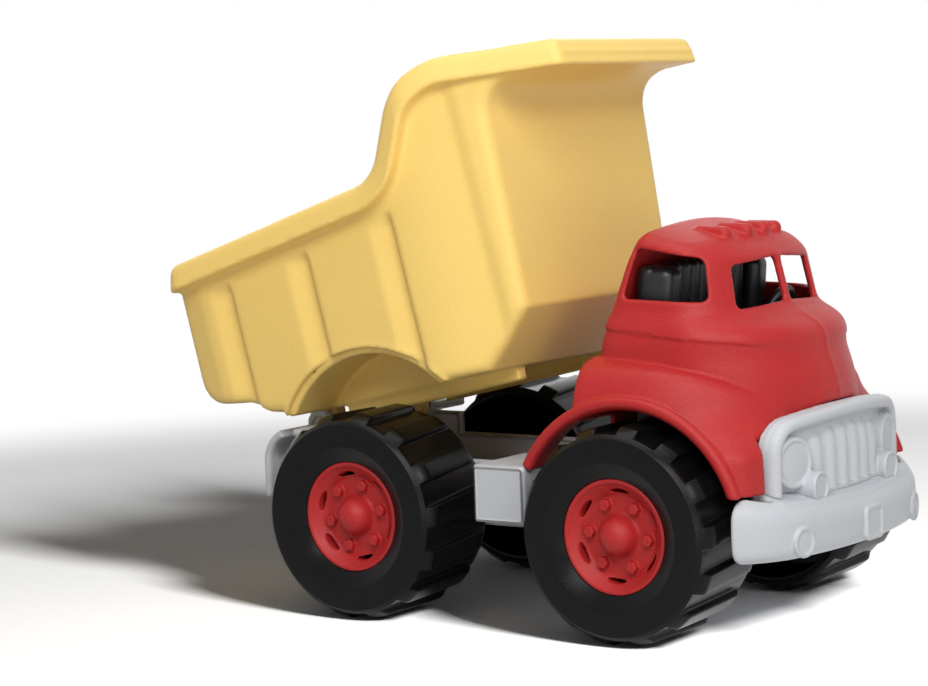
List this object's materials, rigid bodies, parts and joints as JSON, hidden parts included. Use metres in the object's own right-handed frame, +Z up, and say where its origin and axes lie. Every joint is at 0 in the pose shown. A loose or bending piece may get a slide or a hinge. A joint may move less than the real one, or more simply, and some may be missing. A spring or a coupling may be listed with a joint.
{
  "type": "toy dump truck",
  "caption": "Chunky toy tipper truck: round-fendered hollow cab, bowed grille and bumper, tipping load bed with canopy on a rear hinge, treaded wheels on free-rolling axles.",
  "frame": {"origin": "on the ground, on the centre plane, midway between the two axles", "axes": "+X towards the grille, +Y to the truck's left, +Z up"},
  "size_m": [0.2841, 0.1632, 0.223],
  "materials": {
    "grey_plastic": "satin moulded",
    "red_plastic": "fine grained matte",
    "yellow_plastic": "smooth satin",
    "tyre_plastic": "satin black",
    "interior_plastic": "satin black"
  },
  "bodies": {
    "truck": {"chassis_frame": "grey_plastic", "front_bumper": "grey_plastic", "radiator_grille": "grey_plastic", "cab_shell": "red_plastic", "seat_bench": "interior_plastic", "dashboard": "interior_plastic", "hinge_pin_left": "grey_plastic", "hinge_pin_right": "grey_plastic"},
    "bed": {"dump_bed": "yellow_plastic"},
    "front_wheelset": {"axle_front": "red_plastic", "hub_front_left": "red_plastic", "hub_front_right": "red_plastic", "tyre_front_left": "tyre_plastic", "tyre_front_right": "tyre_plastic"},
    "rear_wheelset": {"axle_rear": "red_plastic", "hub_rear_left": "red_plastic", "hub_rear_right": "red_plastic", "tyre_rear_left": "tyre_plastic", "tyre_rear_right": "tyre_plastic"}
  },
  "joints": [
    {"name": "bed_tip", "type": "hinge", "parent": "truck", "child": "bed", "pos_m": [-0.106, 0, 0.07], "axis": [0, -1, 0], "range_deg": [-13, 37]},
    {"name": "front_roll", "type": "hinge", "parent": "truck", "child": "front_wheelset", "pos_m": [0.06, 0, 0.0407], "axis": [0, 1, 0], "continuous": true},
    {"name": "rear_roll", "type": "hinge", "parent": "truck", "child": "rear_wheelset", "pos_m": [-0.06, 0, 0.0407], "axis": [0, 1, 0], "continuous": true}
  ]
}
